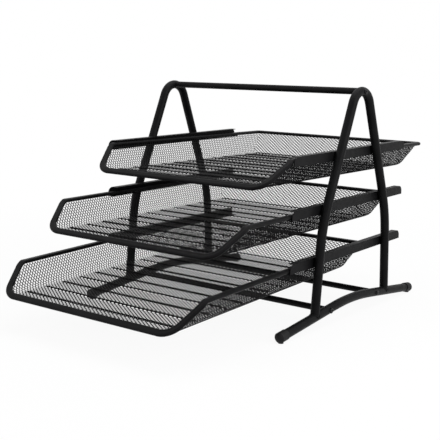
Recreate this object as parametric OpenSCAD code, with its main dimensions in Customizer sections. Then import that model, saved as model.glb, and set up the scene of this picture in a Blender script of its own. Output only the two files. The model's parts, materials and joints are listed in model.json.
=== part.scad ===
// Three-tier letter tray stack: two bent-tube side frames carry three pairs of channel rails,
// and a mesh tray with a flat steel rim slides in each pair.
// +Z up, trays open and draw out towards -Y, X runs from left to right.
// The origin lies on the desk, under the middle of the whole stack with its trays drawn out.

/* [Side frames] */
// Distance between the planes of the two side frames
frame_spacing = 286; // [270:1:320]
// Outer diameter of the frame and foot tubes
tube_d = 10.8; // [8:0.2:12]
// Wall thickness of the tubes
tube_wall = 1; // [0.8:0.1:1.6]
// Height of the tube's centre line at the top bend
apex_z = 270.5; // [255:0.5:290]
// Centre-line radius of the top bend
apex_bend_r = 22; // [15:0.5:28]
// Height of the knee, where the legs turn from splayed to upright
knee_z = 118.7; // [105:0.1:130]
// Distance of the knee from the middle of the frame
knee_reach = 78.3; // [72:0.1:84]
// Centre-line radius of the knee bend
knee_bend_r = 160; // [100:5:200]
// Distance of the legs' lower ends from the middle of the frame
leg_reach = 86.5; // [80:0.5:92]

/* [Foot bars] */
// Half the length of the foot tube, without its caps
foot_half = 160; // [150:1:175]
// Height of the arched foot bar's centre line at its middle
arch_z = 21.6; // [17:0.2:25]
// Centre-line radius of the bend in the middle of the foot bar
foot_bend_r = 385; // [300:5:600]
// Wall of the cap's sleeve round the tube
cap_wall = 0.7; // [0.5:0.1:1.2]
// Length of the cap's sleeve
cap_sleeve = 12; // [9:0.5:14]
// Length of the cap's domed end
cap_dome = 3; // [2:0.5:4]
// Diameter of the round pad on which each cap stands
pad_d = 6; // [4:0.5:8]
// How far the pad stands out under the cap
pad_h = 0.3; // [0.2:0.1:1]

/* [Cross members and screws] */
// Diameter of the handle bar
handle_d = 8; // [6.5:0.5:10]
// Diameter of the two cross bars between the foot bars
crossbar_d = 7.5; // [6.5:0.5:10]
// Distance of each cross bar from the middle of the frame
crossbar_reach = 58; // [40:1:66]
// Diameter of the screws' shanks
screw_d = 4; // [3:0.5:4.5]
// Diameter of the screws' heads
screw_head_d = 7; // [6:0.5:9]
// Height of the screws' heads
screw_head_h = 1.6; // [1.4:0.1:3]
// Depth of the tapped hole in each end of a bar
tap_depth = 14; // [10:1:20]

/* [Rails] */
// Height of the lowest rail's centre
rail_first_z = 79.5; // [72:0.5:84]
// Height from one rail to the next
rail_pitch = 59.2; // [52:0.2:62]
// How many degrees the rails slope down towards the front
rail_slope = 1.3; // [0:0.1:2]
// Length of each rail
rail_length = 268; // [240:1:290]
// Outer height of the rail's channel
rail_h = 11; // [10:0.5:13]
// Depth of the rail's flanges
rail_depth = 7.5; // [6:0.5:8]
// Sheet thickness of the rails
rail_sheet = 0.8; // [0.6:0.1:1]
// Radius of the web's upper corners
rail_corner_r = 7; // [3:0.5:9]

/* [Tray rims] */
// Width of the flat rim
rim_w = 8; // [6.5:0.5:9]
// Thickness of the flat rim
rim_t = 4.4; // [3:0.1:4.8]
// Clearance between the rim's edge and the rail's web
rim_side_gap = 0.7; // [0.5:0.1:1.2]
// Distance from the bend at the rail's end to the rear run's centre line
rim_length = 323; // [305:1:335]
// Run of the sloping front part, measured level
slope_run = 37; // [34:1:46]
// Drop of the sloping front part
slope_drop = 27.6; // [25:0.2:30]
// How far each side comes in over the sloping part
front_taper = 14; // [6:0.5:16]
// Centre-line radius of the bend between the level and the sloping part
bend_r = 5; // [4.5:0.5:8]
// Centre-line radius of the front corners
front_corner_r = 20; // [12:0.5:26]
// Centre-line radius of the rear corners
rear_corner_r = 5; // [4.5:0.5:12]

/* [Mesh baskets] */
// Depth of the basket below the rim's centre line
basket_depth = 29; // [27:0.5:32]
// Thickness of the mesh sheet
mesh_t = 0.8; // [0.6:0.1:1]
// How far the side walls lean in from rim to floor
side_lean = 10; // [8:0.5:12]
// How far the rear wall leans in from rim to floor
rear_lean = 28; // [24:0.5:34]
// Radius of the fold between walls and floor
fold_r = 10; // [6:0.5:12]
// Distance from the rim's front run to the first pressed rib
rib_start = 14.5; // [10:0.5:20]
// Spacing of the pressed ribs across the floor
rib_pitch = 27; // [24:0.5:32]
// Diameter of a pressed rib
rib_d = 2.8; // [2.2:0.1:3.4]
// How far each rib stops short of the fold
rib_end = 4; // [2:0.5:8]
// Least width of one gap in the mesh; a row of gaps fills its panel
gap_w = 27; // [20:1:32]
// Mesh left between two gaps
gap_bar = 5; // [3:0.5:8]
// Mesh left between a gap and the rib beside it
gap_rib = 1.6; // [1:0.2:3]

/* [Trays at rest] */
// How far the middle tray is drawn out
middle_out = 82; // [60:1:110]
// How far the bottom tray is drawn out
bottom_out = 148; // [120:1:170]
// Nose-up angle of the top tray in the slack of its rails
top_nose_up = 0.7; // [0.3:0.1:0.9]
// Nose-up angle of the middle tray; the bottom tray hangs nose-down by all its slack
middle_nose_up = 0.2; // [0:0.1:0.6]
// Height that a rim keeps above the flange it rests on
seat_gap = 0.25; // [0.2:0.05:0.3]

/* [Hidden] */
$fn = 48;
black = [0.10, 0.10, 0.11];
dull_black = [0.14, 0.14, 0.15];
LEFT = -1;
RIGHT = 1;
TOP = 2;
MIDDLE = 1;
BOTTOM = 0;
FRONT = -1;
REAR = 1;
$swell = 0;
reach = 1000; // size of cutting blocks, larger than the part
cut_past = 1; // how far a cut runs past the face it opens
fit_gap = 0.05; // radial clearance of screws and cap sleeves
run_lap = 0.5; // how far a straight run reaches into the bend next to it
bend_swell = 0.05; // a bend is this much fuller all round, so it takes in the run's end
weld_lap = 0.5; // least length of a leg's end that the foot bar's tube cuts away

// Frame values
tube_r = tube_d / 2;
frame_x = frame_spacing / 2;
inner_x = frame_x - tube_r;
apex_centre_z = apex_z - apex_bend_r;
splay = acos(apex_bend_r / norm([knee_reach, apex_centre_z - knee_z]))
        - atan2(apex_centre_z - knee_z, knee_reach);
apex_meet_z = knee_z + knee_reach / tan(splay);

// Foot bar values: one bend in the middle with a straight run down to each end
cap_r = tube_r + cap_wall;
foot_end_z = cap_r + pad_h;
bend_to_end = foot_bend_r - (arch_z - foot_end_z); // height of the foot's end over the bend's centre
foot_angle = atan2(foot_half, bend_to_end) - acos(foot_bend_r / norm([foot_half, bend_to_end]));
arc_reach = foot_bend_r * sin(foot_angle);
foot_meet_z = foot_end_z + foot_half * tan(foot_angle);
pad_y = foot_half - pad_d / 2 - 0.5; // the pad ends just short of the sleeve
crossbar_z = arch_height(crossbar_reach);
leg_end_z = arch_height(leg_reach) + weld_lap;

// Rail values
rail_half = rail_length / 2;
web_inner_x = inner_x - rail_sheet;
channel_half = rail_h / 2 - rail_sheet;

// Rim values
rim_x = web_inner_x - rim_side_gap - rim_w / 2;
slope = atan2(slope_drop, slope_run);
slope_length = norm([slope_run, slope_drop]);
bend_tangent = bend_r * tan(slope / 2);
home_overlap = 2; // how far the top tray's bend stands inside the rails' front ends
bend_y = home_overlap - rail_half;
rim_rear_y = bend_y + rim_length;
front_x = rim_x - front_taper;
front_y = bend_y - slope_run;

// Basket values: the walls hang from the rim's inner edge, clear of the rails' flanges
wall_gap = 0.6;
wall_top_z = -rim_t / 2;
sheet_z = mesh_t / 2 - basket_depth; // middle of the floor's sheet
drop = wall_top_z - sheet_z;
side_angle = atan2(side_lean, drop);
rear_angle = atan2(rear_lean, drop);
wall_top_x = inner_x - rail_depth - wall_gap - mesh_t / 2 / cos(side_angle);
wall_inset = rim_x - wall_top_x;
side_foot_x = wall_top_x - side_lean; // where the side wall's line meets the floor's
rear_foot_y = rim_rear_y - wall_inset - rear_lean;
side_fold_x = side_foot_x - fold_r * (1 - sin(side_angle)) / cos(side_angle);
rear_fold_y = rear_foot_y - fold_r * (1 - sin(rear_angle)) / cos(rear_angle);
rib_first_y = front_y + rib_start;
rib_count = floor((rear_fold_y - rib_first_y) / rib_pitch) + 1;
rib_half = side_fold_x - rib_end;
floor_gap_h = rib_pitch - rib_d - 2 * gap_rib;
wall_gap_h = 13; // height of the gaps in the walls
wall_gap_z = -12; // height of their centres
edge_margin = 6; // mesh left between a row of gaps and the end of its panel

// How each tray lies in its rails: distance drawn out, nose-down angle, height over their centre
slack = channel_half - rim_t / 2 - seat_gap;
tray_out = [bottom_out, middle_out, 0];
tray_tilt = [asin(slack / rail_half), -middle_nose_up, -top_nose_up];
tray_lift = [for (tilt = tray_tilt) min(0, rail_half * sin(abs(tilt)) - slack)];

// Where the stack ends in front and behind, which sets its middle
edge_reach = (rim_w - rim_t) / 2;
front_edge = [front_y - edge_reach * cos(slope) - rim_t / 2, -slope_drop - edge_reach * sin(slope)];
front_end_y = tray_out_y(BOTTOM, front_edge);
rear_end_y = tray_out_y(TOP, [rim_rear_y + rim_w / 2, 0]);
middle_y = (front_end_y + rear_end_y) / 2;

// ---- Places ----

function rail_z(level) = rail_first_z + level * rail_pitch;

// Height of the foot bar's centre line at a distance from the middle
function arch_height(y) =
    y < arc_reach ? arch_z - foot_bend_r + sqrt(pow(foot_bend_r, 2) - pow(y, 2))
    : foot_meet_z - y * tan(foot_angle);

// A tray's point in the YZ plane, drawn out along the tray's own sides
function tray_out_y(level, point) =
    (point.x - tray_out[level]) * cos(rail_slope + tray_tilt[level])
    - point.y * sin(rail_slope + tray_tilt[level])
    - tray_lift[level] * sin(rail_slope);

// Moves the frame's middle so that the origin is under the middle of the stack
module in_stand() {
    translate([0, -middle_y, 0]) children();
}

// Lays a tray in its rails: tilted within the slack and drawn out along its own sides
module in_tray(level) {
    in_stand()
        translate([0, 0, rail_z(level)])
            rotate([rail_slope, 0, 0])
                translate([0, 0, tray_lift[level]])
                    rotate([tray_tilt[level], 0, 0])
                        translate([0, -tray_out[level], 0])
                            children();
}

// Turns a plane drawn in X and Y to stand in the side frame's plane
module upright(side) {
    translate([side * frame_x, 0, 0]) rotate([90, 0, 90]) children();
}

// ---- Bent tube and strip: a profile carried along a line with rounded corners ----

function unit(v) = v / norm(v);

function corner_angle(p, i) = acos(unit(p[i - 1] - p[i]) * unit(p[i + 1] - p[i]));

function tangent_length(p, i, r) = r / tan(corner_angle(p, i) / 2);

// Ends of the straight run that leaves point i
function run_start(p, r, i) =
    i == 0 ? p[0] : p[i] + unit(p[i + 1] - p[i]) * tangent_length(p, i, r[i - 1]);

function run_end(p, r, i) =
    i == len(p) - 2 ? p[i + 1] : p[i + 1] + unit(p[i] - p[i + 1]) * tangent_length(p, i + 1, r[i]);

module straight(from, to, lap_from, lap_to) {
    along = to - from;
    translate([from.x, from.y, 0])
        rotate([0, 0, atan2(along.y, along.x)])
            translate([-lap_from, 0, 0])
                rotate([90, 0, 90])
                    linear_extrude(norm(along) + lap_from + lap_to)
                        children();
}

module corner(p, i, r) {
    into = unit(p[i - 1] - p[i]);
    out = unit(p[i + 1] - p[i]);
    half = corner_angle(p, i) / 2;
    centre = p[i] + unit(into + out) * r / sin(half);
    turns_left = cross(-into, out) > 0;
    first = p[i] + (turns_left ? into : out) * tangent_length(p, i, r) - centre;
    $swell = bend_swell;
    translate([centre.x, centre.y, 0])
        rotate([0, 0, atan2(first.y, first.x)])
            rotate_extrude(angle = 180 - 2 * half, $fn = 4 * $fn)
                translate([r, 0])
                    children();
}

// Carries the 2D child along points p, with the radii r at the inner points
module along_path(p, r) {
    for (i = [0 : len(p) - 2])
        if (norm(run_end(p, r, i) - run_start(p, r, i)) > run_lap)
            straight(run_start(p, r, i), run_end(p, r, i), i == 0 ? 0 : run_lap,
                     i == len(p) - 2 ? 0 : run_lap)
                children();
    for (i = [1 : len(p) - 2])
        corner(p, i, r[i - 1]) children();
}

module round_profile(r) {
    circle(r + $swell);
}

module rim_profile() {
    square([2 * edge_reach, rim_t + 2 * $swell], center = true);
    for (side = [LEFT, RIGHT])
        translate([side * edge_reach, 0]) circle(rim_t / 2 + $swell);
}

// ---- Side frames and feet ----

foot_points = [[-foot_half, foot_end_z], [0, foot_meet_z], [foot_half, foot_end_z]];
leg_points = [
    [-leg_reach, leg_end_z], [-knee_reach, knee_z], [0, apex_meet_z],
    [knee_reach, knee_z], [leg_reach, leg_end_z]
];

// The bent side frame and the foot bar, each with the given section
module frame_line(side) {
    upright(side) along_path(leg_points, [knee_bend_r, apex_bend_r, knee_bend_r]) children();
}

module foot_line(side) {
    upright(side) along_path(foot_points, [foot_bend_r]) children();
}

// Clearance hole for a screw that crosses a tube
module screw_hole(side, y, z) {
    translate([side * frame_x, y, z])
        rotate([0, 90, 0])
            cylinder(r = screw_d / 2 + fit_gap, h = tube_d + 2 * cut_past, center = true);
}

module side_frame(side) {
    color(black) in_stand() difference() {
        frame_line(side) round_profile(tube_r);
        frame_line(side) round_profile(tube_r - tube_wall);
        foot_line(side) round_profile(tube_r);
        screw_hole(side, 0, apex_z);
    }
}

module foot_bar(side) {
    color(black) in_stand() difference() {
        foot_line(side) round_profile(tube_r);
        foot_line(side) round_profile(tube_r - tube_wall);
        for (y = [-crossbar_reach, crossbar_reach]) screw_hole(side, y, crossbar_z);
    }
}

// Puts a cap's shape on the sloping end of the foot bar; end is FRONT or REAR
module foot_end(side, end) {
    translate([side * frame_x, end * foot_half, foot_end_z])
        rotate([-(90 + foot_angle) * end, 0, 0])
            children();
}

// A sleeve with a domed end over the tube, on a small round pad
module foot_cap(side, end) {
    dome_r = (pow(cap_r, 2) + pow(cap_dome, 2)) / (2 * cap_dome);
    color(dull_black) in_stand() difference() {
        union() {
            foot_end(side, end) {
                translate([0, 0, -cap_sleeve]) cylinder(r = cap_r, h = cap_sleeve);
                intersection() {
                    cylinder(r = cap_r, h = cap_dome);
                    translate([0, 0, cap_dome - dome_r]) sphere(dome_r);
                }
            }
            translate([side * frame_x, end * pad_y, 0]) cylinder(d = pad_d, h = foot_end_z);
        }
        foot_end(side, end)
            translate([0, 0, -cap_sleeve - cut_past])
                cylinder(r = tube_r + fit_gap, h = cap_sleeve + cut_past);
    }
}

// ---- Handle, cross bars and their screws ----

// A round bar from tube to tube, tapped at both ends
module bar(d, y, z) {
    translate([0, y, z])
        rotate([0, 90, 0])
            difference() {
                cylinder(d = d, h = 2 * (frame_x - tube_r / 2), center = true);
                for (side = [LEFT, RIGHT])
                    translate([0, 0, side * inner_x])
                        cylinder(d = screw_d, h = 2 * tap_depth, center = true);
            }
}

module handle_bar() {
    color(black) in_stand() difference() {
        bar(handle_d, 0, apex_z);
        for (side = [LEFT, RIGHT]) frame_line(side) round_profile(tube_r);
    }
}

module crossbar(end) {
    color(black) in_stand() difference() {
        bar(crossbar_d, end * crossbar_reach, crossbar_z);
        for (side = [LEFT, RIGHT]) foot_line(side) round_profile(tube_r);
    }
}

// A button-head screw that enters from the outer side of a tube
module screw(side, y, z) {
    tip = inner_x - tap_depth + cut_past;
    seat = frame_x + tube_r;
    translate([0, y, z])
        rotate([0, side * 90, 0])
            difference() {
                union() {
                    translate([0, 0, tip]) cylinder(r = screw_d / 2 - fit_gap, h = seat - tip);
                    translate([0, 0, seat]) cylinder(d = screw_head_d, h = screw_head_h);
                }
                translate([0, 0, seat + screw_head_h / 2])
                    cylinder(d = screw_d * 0.7, h = screw_head_h, $fn = 6);
            }
}

module handle_screws() {
    color(dull_black) in_stand()
        for (side = [LEFT, RIGHT]) screw(side, 0, apex_z);
}

module crossbar_screws() {
    color(dull_black) in_stand()
        for (side = [LEFT, RIGHT], end = [FRONT, REAR]) screw(side, end * crossbar_reach, crossbar_z);
}

// ---- Rails ----

// The web seen from the side: square lower corners and rounded upper ones
module web_shape() {
    upper_half = rail_half - rail_corner_r;
    intersection() {
        translate([-rail_half, -rail_h / 2]) square([rail_length, rail_h]);
        union() {
            translate([-rail_half, rail_h / 2 - rail_corner_r - reach]) square([rail_length, reach]);
            translate([-upper_half, -rail_h / 2]) square([2 * upper_half, rail_h]);
            for (end = [FRONT, REAR])
                translate([end * upper_half, rail_h / 2 - rail_corner_r]) circle(rail_corner_r);
        }
    }
}

module flange(length, z) {
    translate([-rail_depth, -length / 2, z]) cube([rail_depth, length, rail_sheet]);
}

// A channel open towards the tray, its web against the inner side of the legs
module rail(side, level) {
    color(black) in_stand()
        translate([side * inner_x, 0, rail_z(level)])
            rotate([rail_slope, 0, 0]) mirror([side > 0 ? 0 : 1, 0, 0]) {
                translate([-rail_sheet, 0, 0]) rotate([90, 0, 90]) linear_extrude(rail_sheet) web_shape();
                flange(rail_length, -rail_h / 2);
                flange(rail_length - 2 * rail_corner_r, rail_h / 2 - rail_sheet);
            }
}

// ---- Tray rims ----

yaw_r = 12; // centre-line radius where the sloping sides begin to come in
yaw_start = 3.5; // how far below the bend they begin
yaw_y = -bend_tangent - yaw_start;
level_points = [
    [rim_x, bend_y + bend_tangent - run_lap], [rim_x, rim_rear_y],
    [-rim_x, rim_rear_y], [-rim_x, bend_y + bend_tangent - run_lap]
];
slope_points = [
    [rim_x, run_lap - bend_tangent], [rim_x, yaw_y], [front_x, -slope_length],
    [-front_x, -slope_length], [-rim_x, yaw_y], [-rim_x, run_lap - bend_tangent]
];

// Puts a plane drawn in X and Y on the sloping front, with its X axis along the bend
module on_slope() {
    translate([0, bend_y, 0]) rotate([slope, 0, 0]) children();
}

module rim_bend(side) {
    translate([side * rim_x, bend_y + bend_tangent, -bend_r])
        rotate([90, 0, 90])
            rotate([0, 0, 90])
                rotate_extrude(angle = slope)
                    translate([bend_r, 0])
                        rotate([0, 0, 90])
                            rim_profile($swell = bend_swell);
}

module tray_rim(level) {
    color(black) in_tray(level) {
        along_path(level_points, [rear_corner_r, rear_corner_r]) rim_profile();
        on_slope() along_path(slope_points, [yaw_r, front_corner_r, front_corner_r, yaw_r]) rim_profile();
        for (side = [LEFT, RIGHT]) rim_bend(side);
    }
}

// ---- Mesh baskets ----

// Half of the basket in section, filled: a floor that folds up into a leaning wall.
// The wall's line meets the floor's at foot; out moves both surfaces outwards.
module basket_half(foot, angle, out) {
    fold = [foot - fold_r * (1 - sin(angle)) / cos(angle), sheet_z + fold_r];
    r = fold_r + out;
    turn = fold + r * [cos(angle), -sin(angle)];
    top = turn + [tan(angle), 1] * (wall_top_z - turn.y);
    polygon([[-reach, sheet_z - out], [fold.x, sheet_z - out], turn, top, [-reach, wall_top_z]]);
    translate(fold) circle(r);
}

// The wall and its fold alone, one sheet thick
module wall_section(foot, fold, angle) {
    difference() {
        basket_half(foot, angle, mesh_t / 2);
        basket_half(foot, angle, -mesh_t / 2);
        translate([fold - reach, -reach / 2]) square([reach, reach]);
    }
}

// Draws a section of X and Z along the whole tray
module lengthwise() {
    rotate([90, 0, 0]) linear_extrude(reach, center = true) children();
}

// Draws a section of Y and Z across the whole tray
module crosswise() {
    rotate([90, 0, 90]) linear_extrude(reach, center = true) children();
}

module above_slope() {
    on_slope() translate([-reach / 2, -reach, -rim_t / 2]) cube([reach, 2 * reach, reach]);
}

// Coarse oblong gaps that fill a row of the given length
module gap_row(length, h) {
    free = length - 2 * edge_margin;
    count = floor((free + gap_bar) / (gap_w + gap_bar));
    w = (free - (count - 1) * gap_bar) / count;
    for (i = [0 : count - 1])
        translate([(i - (count - 1) / 2) * (w + gap_bar), 0]) square([w, h], center = true);
}

module side_wall(side, level) {
    straight_from = bend_y;
    straight_to = rear_foot_y;
    color(dull_black) in_tray(level) difference() {
        intersection() {
            lengthwise() mirror([side > 0 ? 0 : 1, 0, 0]) wall_section(side_foot_x, side_fold_x, side_angle);
            crosswise() basket_half(rear_foot_y, rear_angle, mesh_t / 2);
        }
        above_slope();
        translate([side * side_foot_x, (straight_from + straight_to) / 2, wall_gap_z])
            rotate([90, 0, 90])
                linear_extrude(4 * side_lean, center = true)
                    gap_row(straight_to - straight_from, wall_gap_h);
    }
}

module rear_wall(level) {
    color(dull_black) in_tray(level) difference() {
        intersection() {
            crosswise() wall_section(rear_foot_y, rear_fold_y, rear_angle);
            lengthwise() basket_half(side_foot_x, side_angle, -mesh_t / 2);
            lengthwise() mirror([1, 0, 0]) basket_half(side_foot_x, side_angle, -mesh_t / 2);
        }
        translate([0, rear_foot_y, wall_gap_z])
            rotate([90, 0, 0])
                linear_extrude(3 * rear_lean, center = true)
                    gap_row(2 * side_foot_x, wall_gap_h);
    }
}

// The floor's gaps lie in rows between its pressed ribs
module tray_floor(level) {
    color(dull_black) in_tray(level) difference() {
        union() {
            translate([-side_fold_x, front_y, sheet_z - mesh_t / 2])
                cube([2 * side_fold_x, rear_fold_y - front_y, mesh_t]);
            for (i = [0 : rib_count - 1])
                translate([0, rib_first_y + i * rib_pitch, sheet_z])
                    rotate([0, 90, 0])
                        cylinder(d = rib_d, h = 2 * rib_half, center = true);
        }
        above_slope();
        for (i = [0 : rib_count - 2])
            translate([0, rib_first_y + (i + 0.5) * rib_pitch, sheet_z])
                linear_extrude(2 * mesh_t, center = true)
                    gap_row(2 * side_fold_x, floor_gap_h);
    }
}

// ---- The named pieces ----

module left_side_frame() { side_frame(LEFT); }
module right_side_frame() { side_frame(RIGHT); }
module left_foot_bar() { foot_bar(LEFT); }
module right_foot_bar() { foot_bar(RIGHT); }
module left_front_foot_cap() { foot_cap(LEFT, FRONT); }
module left_rear_foot_cap() { foot_cap(LEFT, REAR); }
module right_front_foot_cap() { foot_cap(RIGHT, FRONT); }
module right_rear_foot_cap() { foot_cap(RIGHT, REAR); }
module front_crossbar() { crossbar(FRONT); }
module rear_crossbar() { crossbar(REAR); }
module top_left_rail() { rail(LEFT, TOP); }
module top_right_rail() { rail(RIGHT, TOP); }
module middle_left_rail() { rail(LEFT, MIDDLE); }
module middle_right_rail() { rail(RIGHT, MIDDLE); }
module bottom_left_rail() { rail(LEFT, BOTTOM); }
module bottom_right_rail() { rail(RIGHT, BOTTOM); }
module top_tray_rim() { tray_rim(TOP); }
module top_tray_floor() { tray_floor(TOP); }
module top_tray_left_wall() { side_wall(LEFT, TOP); }
module top_tray_right_wall() { side_wall(RIGHT, TOP); }
module top_tray_rear_wall() { rear_wall(TOP); }
module middle_tray_rim() { tray_rim(MIDDLE); }
module middle_tray_floor() { tray_floor(MIDDLE); }
module middle_tray_left_wall() { side_wall(LEFT, MIDDLE); }
module middle_tray_right_wall() { side_wall(RIGHT, MIDDLE); }
module middle_tray_rear_wall() { rear_wall(MIDDLE); }
module bottom_tray_rim() { tray_rim(BOTTOM); }
module bottom_tray_floor() { tray_floor(BOTTOM); }
module bottom_tray_left_wall() { side_wall(LEFT, BOTTOM); }
module bottom_tray_right_wall() { side_wall(RIGHT, BOTTOM); }
module bottom_tray_rear_wall() { rear_wall(BOTTOM); }

left_side_frame();
right_side_frame();
left_foot_bar();
right_foot_bar();
left_front_foot_cap();
left_rear_foot_cap();
right_front_foot_cap();
right_rear_foot_cap();
handle_bar();
front_crossbar();
rear_crossbar();
handle_screws();
crossbar_screws();
top_left_rail();
top_right_rail();
middle_left_rail();
middle_right_rail();
bottom_left_rail();
bottom_right_rail();
top_tray_rim();
top_tray_floor();
top_tray_left_wall();
top_tray_right_wall();
top_tray_rear_wall();
middle_tray_rim();
middle_tray_floor();
middle_tray_left_wall();
middle_tray_right_wall();
middle_tray_rear_wall();
bottom_tray_rim();
bottom_tray_floor();
bottom_tray_left_wall();
bottom_tray_right_wall();
bottom_tray_rear_wall();
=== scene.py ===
"""Letter tray stack: the looks of a three-tray desk stack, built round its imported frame."""

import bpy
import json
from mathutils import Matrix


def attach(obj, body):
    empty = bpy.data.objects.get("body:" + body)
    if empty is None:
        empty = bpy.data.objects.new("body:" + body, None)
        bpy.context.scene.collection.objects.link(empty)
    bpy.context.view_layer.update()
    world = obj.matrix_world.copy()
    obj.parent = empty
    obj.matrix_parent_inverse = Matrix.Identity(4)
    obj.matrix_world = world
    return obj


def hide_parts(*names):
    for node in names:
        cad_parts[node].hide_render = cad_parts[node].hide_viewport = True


bl_info = {
    "name": "Letter tray stack",
    "version": (1, 0, 0),
    "blender": (4, 5, 0),
    "location": "View3D > Sidebar > Tray stack",
    "description": "Mesh baskets, coatings, fittings and studio for a letter tray stack",
    "category": "Object",
}

import json
import math

import bmesh
import bpy
from bpy.props import (FloatProperty, FloatVectorProperty, IntProperty, PointerProperty,
                       StringProperty)
from mathutils import Matrix, Vector

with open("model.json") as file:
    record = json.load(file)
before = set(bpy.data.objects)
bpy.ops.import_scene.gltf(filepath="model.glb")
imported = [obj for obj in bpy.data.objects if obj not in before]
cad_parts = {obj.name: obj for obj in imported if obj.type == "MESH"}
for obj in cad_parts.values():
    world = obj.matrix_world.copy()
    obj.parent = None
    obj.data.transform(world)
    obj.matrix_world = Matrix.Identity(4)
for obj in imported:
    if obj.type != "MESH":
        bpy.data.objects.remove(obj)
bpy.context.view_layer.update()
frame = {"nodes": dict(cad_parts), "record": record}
MM = 0.001
NEAR = 0.01 * MM  # points that lie closer than this are one
CUT_NEAR = 1e-7  # the same where a plane cuts a mesh

# ---- How the solids stand, in millimetres and degrees ----

STACK_MIDDLE = 62.12892  # distance of the side frames' middle behind the origin
FRAME_REACH = 143  # distance of a side frame from the stack's middle plane
RAIL_SLOPE = 1.3  # how far the rails slope down to the front
FOOT_SLOPE = 6.241  # how far a foot bar's straight ends fall

# How each tray lies at rest: height of its rails' middle, its own height over that,
# its nose-down angle against the rails, and how far it is drawn out
TRAYS = {
    "top_tray": (197.9, -0.61292, -0.7, 0),
    "middle_tray": (138.7, -1.78225, -0.2, 82),
    "bottom_tray": (79.5, 0, 0.9621, 148),
}
SIDES = {"left": -1, "right": 1}
ENDS = {"front": -1, "rear": 1}

# Places on a side frame: distance before or behind its middle, and height
HANDLE_SCREW = (0, 270.5)
CROSSBAR_SCREW = (58, 17.555)
LEG_FOOT = (86.1, 14.44)

# ---- How finely the pieces are made ----

SHEET_EXTENT = (150, -180, 205)  # the flat sheet's half width, front and rear, before it is cut
FOLD_STEPS = 6  # small turns in which a wall is folded up
FOLD_CUTS = 4  # planes that trim a wall along the fold of its neighbour
CORNER_CUTS = 4  # planes that trim a panel along a rim's round corner
CORE_SIDES = 10  # sides of a rib's slim core
CORE_END = 0.6  # rounding of a core's ends, as a share of its radius
SCREW_SIDES = 32
CROWN = 0.75  # rounding of a screw's head, as a share of how far it stands out
CROWN_STEPS = 5
BEAD_STEPS = 32  # rings of a weld bead
BEAD_SIDES = 10  # sides of one ring
BEAD_OFF = 0.2  # how far a bead's middle stands off its tube, as a share of the bead
FACING = 0.99  # least cosine between a face's normal and the direction asked for
ON_RING = 0.999  # least cosine between a ring's direction and its points'
SMOOTH_ANGLE = 35

# ---- Powder coats: roughness, and the orange peel's width and depth in millimetres ----

TUBE_COAT = {"rough": (0.36, 0.5), "peel_mm": 0.9, "depth_mm": 0.03}
RIM_COAT = {"rough": (0.32, 0.46), "peel_mm": 0.9, "depth_mm": 0.03}  # flows out flatter
MESH_COAT = {"rough": (0.45, 0.6), "peel_mm": 1.5, "depth_mm": 0.02}  # thin on the strands

NOISE_MIDDLE = {"From Min": 0.3, "From Max": 0.7}  # where most of a noise lies
TONE_PLACES = (0.35, 0.65)  # where on a noise its dark and light tones begin

# ---- Studio, in metres and watts ----

FLOOR_SIDE = 12
SHADOW_FADE = {"From Min": 0.35, "From Max": 0.9}  # the shadow fades out between these distances
PLAIN_SHARE = {"To Min": 0.93, "To Max": 1.0}  # share of plain white near the stack and far off
AIR_LIGHT = {"To Min": 0.3, "To Max": 1.0}  # strength of the white air as a light, and as seen
LAMP_AIM = Vector((0, 0, 0.12))
LAMPS = (  # name, place, side and power
    ("right_softbox", (1.5, 0.1, 0.8), 1.2, 14),
    ("front_softbox", (-0.8, -1.3, 0.9), 1.0, 4),
    ("top_softbox", (0.1, 0.1, 1.6), 1.6, 16),
)
WHITE = (1, 1, 1, 1)
FILM_WIDTH = 36  # millimetres
PHOTO_WIDTH = 440  # pixels
FOCAL_PIXELS = 898.653  # the lens, in the photograph's pixels
CLIP = (0.05, 50)


# ---- Sizes and colours that a user may change ----

def length(name, description, millimetres):
    return FloatProperty(name=name, description=description, default=millimetres * MM,
                         min=0, subtype="DISTANCE", unit="LENGTH", precision=5)


def turn(name, description, degrees):
    return FloatProperty(name=name, description=description, default=math.radians(degrees),
                         subtype="ANGLE", unit="ROTATION")


def colour(name, description, value):
    return StringProperty(name=name, description=description + ", as sRGB hex", default=value)


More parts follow.
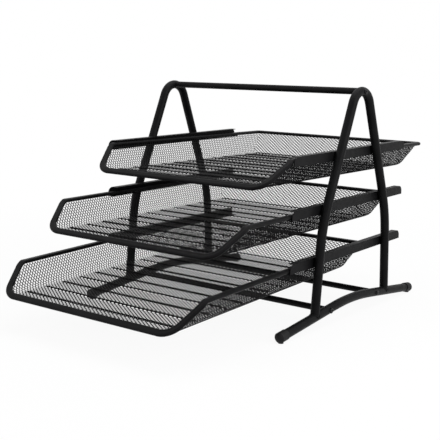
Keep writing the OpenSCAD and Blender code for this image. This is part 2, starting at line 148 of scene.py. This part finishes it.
class BasketSizes(bpy.types.PropertyGroup):
    # the openings are drawn somewhat coarser than the real ones may be, so that they show
    long_way: length("Long way", "Diamond opening, centre to centre, across the tray", 5.8)
    short_way: length("Short way", "Diamond opening, centre to centre, along the tray", 4.0)
    strand: length("Strand", "Width of one strand between two openings", 1.0)
    strand_tilt: turn("Strand tilt", "How far the strands lean out of the sheet, rear edge down",
                      20)
    floor_strand: length("Floor strand", "Width of a strand in the floor, which is stretched less",
                         1.25)
    floor_tilt: turn("Floor strand tilt", "How far the floor's strands lean, rear edge down", 9)
    gauge: length("Gauge", "Thickness of the mesh sheet", 0.2)
    side_fold: length("Side fold", "Distance of the side folds from the middle", 112.1667)
    rear_fold: length("Rear fold", "Distance of the rear fold behind the frame's middle", 156.0015)
    fold_radius: length("Fold radius", "Radius of the folds", 10)
    sheet_depth: length("Depth", "Depth of the floor under the rim's middle", 28.6)
    wall_top: length("Wall top", "Depth of the walls' upper edge under the rim's middle", 2.2)
    side_angle: turn("Side lean", "Lean of the side walls from upright", 20.746)
    rear_angle: turn("Rear lean", "Lean of the rear wall from upright", 46.684)
    rib_first: length("First rib", "Distance of the foremost rib before the frame's middle", 145.5)
    rib_pitch: length("Rib pitch", "Spacing of the pressed ribs", 27)
    rib_half: length("Rib half length", "Half the length of a rib", 108.1667)
    rib_height: length("Rib height", "How far a rib rises over the floor", 1.7)
    rib_foot: length("Rib foot", "Half the width of a rib where it leaves the floor", 2.8)
    rib_crest: length("Rib crest", "Half the width of a rib's crest", 0.8)
    rib_core: length("Rib core", "Radius of the closed core along a rib's crest", 0.6)
    rib_count: IntProperty(name="Ribs", description="Number of pressed ribs", default=12, min=1)
    front_bend: length("Front bend", "Distance of the rim's bend before the frame's middle", 132)
    front_angle: turn("Front slope", "Slope of the rim's front part", 36.722)
    rim_half: length("Rim half width", "Half the rim's width, between centre lines, at its sides",
                     132.1)
    front_half: length("Front half width", "Half the rim's width at its front run", 118.1)
    front_run: length("Front run", "Distance of the rim's front run before the frame's middle", 169)
    front_corner: length("Front corner", "Radius of the rim's front corners", 20)
    tuck: length("Tuck", "How far the mesh reaches under the rim past its centre line", 1.5)


class FittingSizes(bpy.types.PropertyGroup):
    tube: length("Tube radius", "Radius of the frames' tubes", 5.4)
    head: length("Head radius", "Radius of a screw's button head", 3.4)
    head_rise: length("Head rise", "How far a head stands out of the tube's side", 1.1)
    head_seat: length("Head seat", "How deep a head's rim reaches round the tube", 1.3)
    socket: length("Socket radius", "Radius of the drive socket", 1.3)
    socket_depth: length("Socket depth", "Depth of the drive socket", 0.8)
    shank: length("Shank radius", "Radius of a screw's shank", 1.9)
    shank_length: length("Shank length", "Length of a screw's shank under its head", 12)
    bead: length("Weld bead", "Radius of the weld bead round a leg's foot", 0.9)


class FinishColours(bpy.types.PropertyGroup):
    coat: colour("Coat", "Powder coat on tubes, rails and rims", "#0d0d0e")
    coat_light: colour("Coat, light", "Lightest tone of the powder coat", "#141415")
    mesh: colour("Mesh coat", "Powder coat on the mesh", "#0c0c0d")
    cap: colour("Cap", "Moulded end caps", "#0b0b0c")
    screw: colour("Screw", "Blackened screws", "#0e0e10")
    floor: colour("Floor", "Studio floor", "#fbfbfb")


class StudioSettings(bpy.types.PropertyGroup):
    eye: FloatVectorProperty(name="Eye", description="Place of the camera", subtype="XYZ",
                             unit="LENGTH", default=(0.648667, -0.891353, 0.289606))
    azimuth: turn("Azimuth", "Direction of the camera round the stack", 36.615)
    elevation: turn("Elevation", "Height of the camera over the horizon", 9.397)
    roll: turn("Roll", "Roll of the camera", 1.481)
    focal: FloatProperty(name="Lens", description="Focal length in millimetres on a 36 mm frame",
                         default=FOCAL_PIXELS * FILM_WIDTH / PHOTO_WIDTH)


# ---- Helpers for modelling ----

def clear_selection():
    if bpy.context.mode != "OBJECT":
        bpy.ops.object.mode_set(mode="OBJECT")
    bpy.ops.object.select_all(action="DESELECT")


def activate(piece):
    clear_selection()
    piece.select_set(True)
    bpy.context.view_layer.objects.active = piece


def open_mesh(piece):
    """Enter edit mode with the whole piece selected."""
    activate(piece)
    bpy.ops.object.mode_set(mode="EDIT")
    bpy.ops.mesh.select_all(action="SELECT")


def close_mesh():
    bpy.ops.object.mode_set(mode="OBJECT")


def named(name):
    """Name the primitive just added and bring its place into its mesh."""
    piece = bpy.context.active_object
    piece.name = piece.data.name = name
    bpy.ops.object.transform_apply(location=True, rotation=True, scale=True)
    return piece


def copy_of(piece, name):
    twin = piece.copy()
    twin.data = piece.data.copy()
    twin.name = twin.data.name = name
    bpy.context.scene.collection.objects.link(twin)
    return twin


def coat_with(piece, finish):
    piece.data.materials.clear()
    piece.data.materials.append(finish)


def pick_vertices(piece, test):
    """Select the vertices whose place passes the test; the piece is in edit mode."""
    shape = bmesh.from_edit_mesh(piece.data)
    for vertex in shape.verts:
        vertex.select_set(test(vertex.co))
    shape.select_flush_mode()
    bmesh.update_edit_mesh(piece.data)


def pick_faces(piece, test):
    """Select the faces whose middle and normal pass the test; the piece is in edit mode."""
    bpy.ops.mesh.select_all(action="DESELECT")
    shape = bmesh.from_edit_mesh(piece.data)
    for face in shape.faces:
        face.select_set(test(face.calc_center_median(), face.normal))
    bmesh.update_edit_mesh(piece.data)


def cut(piece, point, normal, drop=True):
    """Cut the whole piece at a plane, and drop what lies on the normal's side if asked."""
    open_mesh(piece)
    bpy.ops.mesh.bisect(plane_co=point, plane_no=normal, clear_outer=drop, threshold=CUT_NEAR)
    close_mesh()


def add_modifier(piece, kind, **settings):
    activate(piece)
    modifier = piece.modifiers.new(kind.lower(), kind)
    for key, value in settings.items():
        setattr(modifier, key, value)
    bpy.ops.object.modifier_apply(modifier=modifier.name)


# ---- Helpers for materials ----

def linear(value):
    """sRGB hex to linear RGBA."""
    parts = [int(value[i:i + 2], 16) / 255 for i in (1, 3, 5)]
    return [p / 12.92 if p <= 0.04045 else ((p + 0.055) / 1.055) ** 2.4 for p in parts] + [1]


def add_node(tree, kind, links=None, tones=None, **settings):
    """Add a shader node. Settings are its sockets or its own attributes, links feed its
    sockets, and tones are the hex colours of a ramp over the middle of a noise."""
    node = tree.nodes.new(kind)
    for key, value in settings.items():
        if key in node.inputs:
            node.inputs[key].default_value = value
        else:
            setattr(node, key, value)
    for key, source in (links or {}).items():
        tree.links.new(source, node.inputs[key])
    if tones:
        for element, position, tone in zip(node.color_ramp.elements, TONE_PLACES, tones):
            element.position, element.color = position, linear(tone)
    return node


def new_tree(name):
    material = bpy.data.materials.new(name)
    material.use_nodes = True
    material.node_tree.nodes.clear()
    return material, material.node_tree


def lumps(tree, size_mm, detail, offset=0.0):
    """A pattern on object coordinates whose lumps are about size_mm across."""
    place = add_node(tree, "ShaderNodeTexCoord")
    shift = add_node(tree, "ShaderNodeMapping", {"Vector": place.outputs["Object"]},
                     Location=(offset, offset, offset))
    noise = add_node(tree, "ShaderNodeTexNoise", {"Vector": shift.outputs["Vector"]},
                     Scale=1 / (size_mm * MM), Detail=detail, Roughness=0.55)
    return noise.outputs[0]


def surface(name, patches, tones, rubs, rough, grain, relief, shader):
    """A finish whose colour follows its patches, its gloss its rubs and its relief its grain.
    Each pattern is a size in millimetres, a detail and an offset."""
    material, tree = new_tree(name)
    tone = add_node(tree, "ShaderNodeValToRGB", {"Fac": lumps(tree, *patches)}, tones)
    sheen = add_node(tree, "ShaderNodeMapRange", {"Value": lumps(tree, *rubs)},
                     **NOISE_MIDDLE, **{"To Min": rough[0], "To Max": rough[1]})
    bump = add_node(tree, "ShaderNodeBump", {"Height": lumps(tree, *grain)}, **relief)
    skin = add_node(tree, "ShaderNodeBsdfPrincipled", {
        "Base Color": tone.outputs[0], "Roughness": sheen.outputs[0],
        "Normal": bump.outputs[0]}, **shader)
    add_node(tree, "ShaderNodeOutputMaterial", {"Surface": skin.outputs[0]})
    return material


def coated_steel(name, dark, light, rough, peel_mm, depth_mm):
    """Baked polyester powder on steel: black and satin, so edges shine softly, with a fine
    orange peel and faint rub marks."""
    return surface(name, patches=(22, 3), tones=(dark, light), rubs=(6, 4, 0.77), rough=rough,
                   grain=(peel_mm, 2, 0.31), relief={"Strength": 0.5, "Distance": depth_mm * MM},
                   shader={"Specular IOR Level": 0.06})


def moulded_plastic(name, tone):
    """Injection-moulded polyethylene with a spark-eroded grain, which keeps it matt. The grain
    is drawn about 0.5 mm wide, coarser than the real one, so that it shows."""
    patches = (9, 2, 0.2)
    return surface(name, patches=patches, tones=(tone, "#131314"), rubs=patches,
                   rough=(0.55, 0.68), grain=(0.5, 3),
                   relief={"Strength": 0.6, "Distance": 0.03 * MM},
                   shader={"Specular IOR Level": 0.2})


def blackened_steel(name, tone):
    """Black-oxide steel: a dark metal, glossier than the powder coat. Its fine turning marks
    are drawn about 0.6 mm wide, coarser than the real ones, so that they show."""
    marks = (0.6, 3)
    return surface(name, patches=marks, tones=(tone, "#1a1a1c"), rubs=marks, rough=(0.3, 0.42),
                   grain=marks, relief={"Strength": 0.4, "Distance": 0.01 * MM},
                   shader={"Metallic": 0.8})


# ---- The mesh baskets, made on the tray's own axes ----

def diamond_sheet(size, strand, tilt):
    """One flat sheet of diamond openings at floor level: a cut and stretched steel sheet."""
    half_width, front, rear = (extent * MM for extent in SHEET_EXTENT)
    half_long, half_short = size.long_way / 2, size.short_way / 2
    columns = math.ceil(half_width / half_long) + 1
    rows = math.ceil((rear - front) / size.short_way) + 1
    clear_selection()
    bpy.ops.mesh.primitive_circle_add(vertices=4, radius=1, fill_type="NGON")
    sheet = named("diamond_sheet")
    open_mesh(sheet)
    bpy.ops.transform.resize(value=(half_long, half_short, 1), center_override=(0, 0, 0))
    bpy.ops.mesh.inset(thickness=strand / 2, use_even_offset=True)
    bpy.ops.mesh.delete(type="FACE")
    for end in ENDS.values():
        # an opening's front point is the rear edge of the strands before it,
        # and its rear point the front edge of the strands behind it
        pick_vertices(sheet, lambda co: abs(co.x) < NEAR
                      and 0 < end * co.y < half_short - strand / 4)
        bpy.ops.transform.translate(value=(0, 0, end * strand / 2 * math.tan(tilt)))
    bpy.ops.mesh.select_all(action="SELECT")
    bpy.ops.mesh.duplicate()
    bpy.ops.transform.translate(value=(half_long, half_short, 0))
    bpy.ops.mesh.select_all(action="SELECT")
    bpy.ops.transform.translate(value=(-columns * half_long, front, -size.sheet_depth))
    close_mesh()
    for step, count in (((size.long_way, 0, 0), columns + 1), ((0, size.short_way, 0), rows)):
        add_modifier(sheet, "ARRAY", count=count, use_relative_offset=False,
                     use_constant_offset=True, constant_offset_displace=step,
                     use_merge_vertices=True, merge_threshold=NEAR)
    open_mesh(sheet)
    bpy.ops.mesh.remove_doubles(threshold=NEAR)
    close_mesh()
    return sheet


def fold_up(panel, size, axis, side, start, lean):
    """Fold the sheet beyond start up to its lean, in small turns along the fold's length.
    Axis 0 folds a side wall and axis 1 the rear wall."""
    angle = math.pi / 2 - lean
    arc = size.fold_radius * angle
    open_mesh(panel)
    for step in reversed(range(FOLD_STEPS)):
        line = start + (step + 0.5) * arc / FOLD_STEPS
        pick_vertices(panel, lambda co: side * co[axis] > line)
        centre = Vector((0, 0, -size.sheet_depth))
        centre[axis] = side * line
        turned = side * angle / FOLD_STEPS
        # with no window the operator turns the other way round
        bpy.ops.transform.rotate(value=turned if axis == 0 else -turned,
                                 orient_axis="Y" if axis == 0 else "X", center_override=centre)
    close_mesh()


def cut_under_rim(panel, size):
    """Trim a panel where it meets the underside of the rim, level and sloping."""
    below = -size.wall_top
    cut(panel, (0, 0, below), (0, 0, 1))
    normal = Vector((0, -math.sin(size.front_angle), math.cos(size.front_angle)))
    cut(panel, Vector((0, -size.front_bend, 0)) + below * normal, normal)


def cut_inside_rim(panel, size, side):
    """Trim a panel along the rim's tapering side and round its front corner."""
    taper = math.atan2(size.rim_half - size.front_half, size.front_run - size.front_bend)
    cut(panel, (side * (size.rim_half + size.tuck / math.cos(taper)), -size.front_bend, 0),
        (side * math.cos(taper), -math.sin(taper), 0))
    flat = math.cos(size.front_angle)  # the slope seen from above
    opening = math.pi / 2 - taper
    centre = Vector((size.front_half - size.front_corner * math.tan(opening / 2),
                     size.front_corner * flat - size.front_run, 0))
    reach = size.front_corner + size.tuck
    for step in range(CORNER_CUTS):
        at = taper + opening * (step + 0.5) / CORNER_CUTS
        edge = centre + reach * Vector((math.cos(at), -flat * math.sin(at), 0))
        cut(panel, (side * edge.x, edge.y, 0), (side * flat * math.cos(at), -math.sin(at), 0))


def fold_planes(size, start, lean, shift):
    """Planes that follow a fold and its wall: distance, height and turn up from level."""
    radius = size.fold_radius + shift
    for step in range(1, FOLD_CUTS + 1):
        at = (math.pi / 2 - lean) * step / FOLD_CUTS
        yield (start + radius * math.sin(at),
               size.fold_radius - size.sheet_depth - radius * math.cos(at), at)


def rib_lines(size):
    return [-size.rib_first + i * size.rib_pitch for i in range(size.rib_count)]


def press_ribs(floor, size):
    """Press the ribs up: cut lines at each rib's feet and crest, then raise the crest."""
    lines = rib_lines(size)
    for line in lines:
        for away in (-size.rib_foot, -size.rib_crest, size.rib_crest, size.rib_foot):
            cut(floor, (0, line + away, 0), (0, 1, 0), drop=False)
    reach = size.rib_crest + 2 * NEAR
    open_mesh(floor)
    pick_vertices(floor, lambda co: abs(co.x) < size.rib_half
                  and any(abs(co.y - line) < reach for line in lines))
    bpy.ops.transform.translate(value=(0, 0, size.rib_height))
    close_mesh()


def add_rib_cores(floor, size):
    """Close each rib's crest, where the press has squeezed the openings shut, with a slim
    rounded core."""
    cores = []
    for line in rib_lines(size):
        clear_selection()
        bpy.ops.mesh.primitive_cylinder_add(
            vertices=CORE_SIDES, radius=size.rib_core, depth=2 * size.rib_half,
            rotation=(0, math.pi / 2, 0),
            location=(0, line - size.rib_crest,
                      size.rib_height - size.rib_core - size.sheet_depth))
        core = named("rib_core")
        open_mesh(core)
        for end in SIDES.values():
            pick_vertices(core, lambda co: end * co.x > size.rib_half - NEAR)
            bpy.ops.mesh.bevel(offset=CORE_END * size.rib_core, segments=2, affect="EDGES")
        close_mesh()
        cores.append(core)
    activate(floor)
    for core in cores:
        core.select_set(True)
    bpy.ops.object.join()


def floor_panel(sheet, size):
    floor = copy_of(sheet, "floor_panel")
    cut(floor, (size.side_fold, 0, 0), (1, 0, 0))
    cut(floor, (-size.side_fold, 0, 0), (-1, 0, 0))
    cut(floor, (0, size.rear_fold, 0), (0, 1, 0))
    cut_under_rim(floor, size)
    for side in SIDES.values():
        cut_inside_rim(floor, size, side)
    press_ribs(floor, size)
    return floor


def side_panel(sheet, size, side):
    wall = copy_of(sheet, "side_panel")
    cut(wall, (side * size.side_fold, 0, 0), (-side, 0, 0))
    fold_up(wall, size, 0, side, size.side_fold, size.side_angle)
    cut_under_rim(wall, size)
    cut_inside_rim(wall, size, side)
    for reach, height, at in fold_planes(size, size.rear_fold, size.rear_angle, size.gauge / 2):
        cut(wall, (0, reach, height), (0, math.sin(at), -math.cos(at)))
    return wall


def rear_panel(sheet, size):
    wall = copy_of(sheet, "rear_panel")
    cut(wall, (0, size.rear_fold, 0), (0, -1, 0))
    fold_up(wall, size, 1, 1, size.rear_fold, size.rear_angle)
    cut_under_rim(wall, size)
    for side in SIDES.values():
        for reach, height, at in fold_planes(size, size.side_fold, size.side_angle,
                                             -size.gauge / 2):
            cut(wall, (side * reach, 0, height), (side * math.sin(at), 0, -math.cos(at)))
    return wall


def tray_place(tray):
    """The tray's place at rest, from its own axes to the stack's."""
    height, lift, tilt, out = TRAYS[tray]
    return (Matrix.Translation((0, STACK_MIDDLE * MM, height * MM))
            @ Matrix.Rotation(math.radians(RAIL_SLOPE), 4, "X")
            @ Matrix.Translation((0, 0, lift * MM))
            @ Matrix.Rotation(math.radians(tilt), 4, "X")
            @ Matrix.Translation((0, -out * MM, 0)))


class TRAYSTACK_OT_baskets(bpy.types.Operator):
    """Make the mesh floor and walls of each tray"""
    bl_idname = "traystack.baskets"
    bl_label = "Mesh baskets"

    def execute(self, context):
        size = context.scene.tray_baskets
        colours = context.scene.tray_colours
        coat = coated_steel("mesh_black_powder_coat", colours.mesh, colours.coat_light,
                            **MESH_COAT)
        base = diamond_sheet(size, size.floor_strand, size.floor_tilt)
        sheet = diamond_sheet(size, size.strand, size.strand_tilt)
        panels = {
            "floor": floor_panel(base, size),
            "left_wall": side_panel(sheet, size, -1),
            "right_wall": side_panel(sheet, size, 1),
            "rear_wall": rear_panel(sheet, size),
        }
        bpy.data.objects.remove(base)
        bpy.data.objects.remove(sheet)
        for part, panel in panels.items():
            add_modifier(panel, "SOLIDIFY", thickness=size.gauge, offset=0, use_even_offset=True)
            if part == "floor":
                add_rib_cores(panel, size)
            coat_with(panel, coat)
            for tray in TRAYS:
                piece = copy_of(panel, f"{tray}_{part}_mesh")
                piece.data.transform(tray_place(tray))
                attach(piece, tray)
                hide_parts(f"{tray}_{part}")
            bpy.data.objects.remove(panel)
        return {"FINISHED"}


# ---- Screws and weld beads ----

def button_screw(size):
    """One button-head screw along X: its head's seat on the origin's plane, its shank behind."""
    top = size.head_rise - NEAR
    crown = CROWN * size.head_rise
    clear_selection()
    bpy.ops.mesh.primitive_cylinder_add(
        vertices=SCREW_SIDES, radius=size.head, depth=size.head_rise + size.head_seat,
        location=((size.head_rise - size.head_seat) / 2, 0, 0), rotation=(0, math.pi / 2, 0))
    screw = named("button_screw")
    open_mesh(screw)
    bpy.ops.mesh.select_mode(type="VERT")
    pick_vertices(screw, lambda co: co.x > top)
    bpy.ops.mesh.bevel(offset=crown, segments=CROWN_STEPS, affect="EDGES")
    bpy.ops.mesh.select_mode(type="FACE")
    pick_faces(screw, lambda middle, normal: normal.x > FACING and middle.x > top)
    bpy.ops.mesh.inset(thickness=size.head - crown - size.socket)
    bpy.ops.mesh.extrude_region_move(
        TRANSFORM_OT_translate={"value": (-size.socket_depth, 0, 0)})
    pick_faces(screw, lambda middle, normal: normal.x < -FACING)
    bpy.ops.mesh.inset(thickness=size.head - size.shank)
    bpy.ops.mesh.extrude_region_move(
        TRANSFORM_OT_translate={"value": (-size.shank_length, 0, 0)})
    bpy.ops.mesh.select_mode(type="VERT")
    close_mesh()
    return screw


def weld_bead(size):
    """One bead round an upright tube that stands across the top of a tube along Y."""
    ring = size.tube + BEAD_OFF * size.bead
    clear_selection()
    bpy.ops.mesh.primitive_torus_add(major_radius=ring, minor_radius=size.bead,
                                     major_segments=BEAD_STEPS, minor_segments=BEAD_SIDES)
    bead = named("weld_bead")
    open_mesh(bead)
    for step in range(BEAD_STEPS):
        angle = 2 * math.pi * step / BEAD_STEPS
        outward = Vector((math.cos(angle), math.sin(angle), 0))
        across = ring * outward.x
        pick_vertices(bead, lambda co:
                      Vector((co.x, co.y, 0)).normalized().dot(outward) > ON_RING)
        bpy.ops.transform.translate(
            value=(0, 0, math.sqrt(max(size.tube ** 2 - across ** 2, 0))))
    close_mesh()
    return bead


def on_frame(side, place, end=1):
    """A place on a side frame, before or behind its middle."""
    away, height = place
    return Matrix.Translation((side * FRAME_REACH * MM, (STACK_MIDDLE + end * away) * MM,
                               height * MM))


def turned_to(side):
    return Matrix.Rotation(0 if side > 0 else math.pi, 4, "Z")


def place_copies(model, finish, places):
    """Copy the model to each named place on the stand."""
    coat_with(model, finish)
    activate(model)
    bpy.ops.object.shade_smooth_by_angle(angle=math.radians(SMOOTH_ANGLE))
    pieces = []
    for name, place in places.items():
        piece = copy_of(model, name)
        piece.data.transform(place)
        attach(piece, "stand")
        pieces.append(piece)
    bpy.data.objects.remove(model)
    return pieces


class TRAYSTACK_OT_screws(bpy.types.Operator):
    """Make the button-head screws of the handle and the cross bars"""
    bl_idname = "traystack.screws"
    bl_label = "Screws"

    def execute(self, context):
        size = context.scene.tray_fittings
        steel = blackened_steel("black_oxide_steel", context.scene.tray_colours.screw)
        seat = Matrix.Translation((size.tube, 0, 0))
        handle = {f"handle_{name}_button_screw":
                  on_frame(side, HANDLE_SCREW) @ turned_to(side) @ seat
                  for name, side in SIDES.items()}
        bars = {f"{end_name}_crossbar_{name}_button_screw":
                on_frame(side, CROSSBAR_SCREW, end) @ turned_to(side) @ seat
                for name, side in SIDES.items() for end_name, end in ENDS.items()}
        for node, places in (("handle_screws", handle), ("crossbar_screws", bars)):
            for piece in place_copies(button_screw(size), steel, places):
                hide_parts(node)
        return {"FINISHED"}


class TRAYSTACK_OT_welds(bpy.types.Operator):
    """Lay the weld beads where the legs stand on the foot bars"""
    bl_idname = "traystack.welds"
    bl_label = "Weld beads"

    def execute(self, context):
        colours = context.scene.tray_colours
        coat = coated_steel("bead_black_powder_coat", colours.coat, colours.coat_light,
                            **TUBE_COAT)
        places = {f"{name}_{end_name}_leg_weld":
                  on_frame(side, LEG_FOOT, end)
                  @ Matrix.Rotation(math.radians(-end * FOOT_SLOPE), 4, "X")
                  for name, side in SIDES.items() for end_name, end in ENDS.items()}
        place_copies(weld_bead(context.scene.tray_fittings), coat, places)
        return {"FINISHED"}


# ---- Coatings on the frame, rails and rims ----

class TRAYSTACK_OT_coatings(bpy.types.Operator):
    """Give the tubes, bars, rails and rims their powder coat, and the caps their plastic"""
    bl_idname = "traystack.coatings"
    bl_label = "Coatings"

    def execute(self, context):
        colours = context.scene.tray_colours
        coat = (colours.coat, colours.coat_light)
        finishes = {
            "tube": coated_steel("tube_black_powder_coat", *coat, **TUBE_COAT),
            "rail": coated_steel("rail_black_powder_coat", *coat, **TUBE_COAT),
            "tray_rim": coated_steel("rim_black_powder_coat", *coat, **RIM_COAT),
            "end_cap": moulded_plastic("moulded_black_polyethylene", colours.cap),
        }
        for part in frame["record"]["subparts"]:
            if part["material_slot"] in finishes:
                coat_with(frame["nodes"][part["node"]], finishes[part["material_slot"]])
        return {"FINISHED"}


# ---- Studio ----

def seen_directly(tree):
    """1 where the camera, a reflection or a transmitted ray looks, and 0 for the light itself."""
    ray = add_node(tree, "ShaderNodeLightPath")
    either = add_node(tree, "ShaderNodeMath", {0: ray.outputs["Is Camera Ray"],
                                               1: ray.outputs["Is Glossy Ray"]},
                      operation="MAXIMUM")
    seen = add_node(tree, "ShaderNodeMath", {0: either.outputs[0],
                                             1: ray.outputs["Is Transmission Ray"]},
                    operation="MAXIMUM")
    return seen.outputs[0]


class TRAYSTACK_OT_studio(bpy.types.Operator):
    """Set up the white floor, the soft lights and the camera"""
    bl_idname = "traystack.studio"
    bl_label = "Studio"

    def execute(self, context):
        scene = context.scene
        self.floor(scene)
        self.lights(scene)
        self.camera(scene)
        scene.view_settings.view_transform = "Standard"
        return {"FINISHED"}

    def floor(self, scene):
        clear_selection()
        bpy.ops.mesh.primitive_plane_add(size=FLOOR_SIDE, location=(0, 0, 0))
        floor = named("studio_floor")
        floor.data.materials.append(self.paper(scene.tray_colours.floor))

    def paper(self, white):
        """White paper that keeps a faint shadow near the stack and turns plain white far off."""
        material, tree = new_tree("matt_white_paper")
        tone = add_node(tree, "ShaderNodeValToRGB", {"Fac": lumps(tree, 40, 2)},
                        ("#f9f9f9", white))
        lit = add_node(tree, "ShaderNodeBsdfPrincipled", {"Base Color": tone.outputs[0]},
                       Roughness=0.9, **{"Specular IOR Level": 0.0})
        plain = add_node(tree, "ShaderNodeEmission", Color=WHITE, Strength=1)
        place = add_node(tree, "ShaderNodeTexCoord")
        away = add_node(tree, "ShaderNodeVectorMath", {0: place.outputs["Object"]},
                        operation="LENGTH")
        share = add_node(tree, "ShaderNodeMapRange", {"Value": away.outputs["Value"]},
                         **SHADOW_FADE, **PLAIN_SHARE)
        part = add_node(tree, "ShaderNodeMath", {0: seen_directly(tree), 1: share.outputs[0]},
                        operation="MULTIPLY")
        mixed = add_node(tree, "ShaderNodeMixShader", {
            0: part.outputs[0], 1: lit.outputs[0], 2: plain.outputs[0]})
        add_node(tree, "ShaderNodeOutputMaterial", {"Surface": mixed.outputs[0]})
        return material

    def lights(self, scene):
        world = bpy.data.worlds.new("white_studio")
        scene.world = world
        world.use_nodes = True
        tree = world.node_tree
        tree.nodes.clear()
        strength = add_node(tree, "ShaderNodeMapRange", {"Value": seen_directly(tree)},
                            **AIR_LIGHT)
        air = add_node(tree, "ShaderNodeBackground", {"Strength": strength.outputs[0]},
                       Color=WHITE)
        add_node(tree, "ShaderNodeOutputWorld", {"Surface": air.outputs[0]})
        for name, place, side, power in LAMPS:
            lamp = bpy.data.lights.new(name, "AREA")
            lamp.shape, lamp.size, lamp.energy = "SQUARE", side, power
            holder = bpy.data.objects.new(name, lamp)
            holder.location = place
            aim = LAMP_AIM - Vector(place)
            holder.rotation_euler = aim.to_track_quat("-Z", "Y").to_euler()
            scene.collection.objects.link(holder)

    def camera(self, scene):
        settings = scene.tray_studio
        a, e, r = settings.azimuth, settings.elevation, settings.roll
        back = Vector((math.sin(a) * math.cos(e), -math.cos(a) * math.cos(e), math.sin(e)))
        right = (-back).cross(Vector((0, 0, 1))).normalized()
        up = right.cross(-back)
        right, up = (math.cos(r) * right + math.sin(r) * up,
                     -math.sin(r) * right + math.cos(r) * up)
        lens = bpy.data.cameras.new("photo_camera")
        lens.sensor_width, lens.lens = FILM_WIDTH, settings.focal
        lens.clip_start, lens.clip_end = CLIP
        camera = bpy.data.objects.new("photo_camera", lens)
        turned = Matrix((right, up, back)).transposed().to_4x4()
        camera.matrix_world = Matrix.Translation(settings.eye) @ turned
        scene.collection.objects.link(camera)
        scene.camera = camera


# ---- Panel and registration ----

GROUPS = {"tray_baskets": BasketSizes, "tray_fittings": FittingSizes,
          "tray_colours": FinishColours, "tray_studio": StudioSettings}
OPERATORS = (TRAYSTACK_OT_coatings, TRAYSTACK_OT_screws, TRAYSTACK_OT_welds,
             TRAYSTACK_OT_baskets, TRAYSTACK_OT_studio)


class TRAYSTACK_PT_panel(bpy.types.Panel):
    """Makes the tray stack's pieces, one group at a time"""
    bl_idname = "TRAYSTACK_PT_panel"
    bl_label = "Tray stack"
    bl_space_type = "VIEW_3D"
    bl_region_type = "UI"
    bl_category = "Tray stack"

    def draw(self, context):
        for operator in OPERATORS:
            self.layout.operator(operator.bl_idname)
        for group in GROUPS:
            settings = getattr(context.scene, group)
            for name in settings.bl_rna.properties.keys():
                if name not in ("rna_type", "name"):
                    self.layout.prop(settings, name)


CLASSES = (*GROUPS.values(), *OPERATORS, TRAYSTACK_PT_panel)


def register():
    for item in CLASSES:
        bpy.utils.register_class(item)
    for name, group in GROUPS.items():
        setattr(bpy.types.Scene, name, PointerProperty(type=group))


def unregister():
    for name in GROUPS:
        delattr(bpy.types.Scene, name)
    for item in reversed(CLASSES):
        bpy.utils.unregister_class(item)


def main():
    register()
    bpy.ops.traystack.coatings()
    bpy.ops.traystack.screws()
    bpy.ops.traystack.welds()
    bpy.ops.traystack.baskets()
    bpy.ops.traystack.studio()


if __name__ == "__main__":
    main()
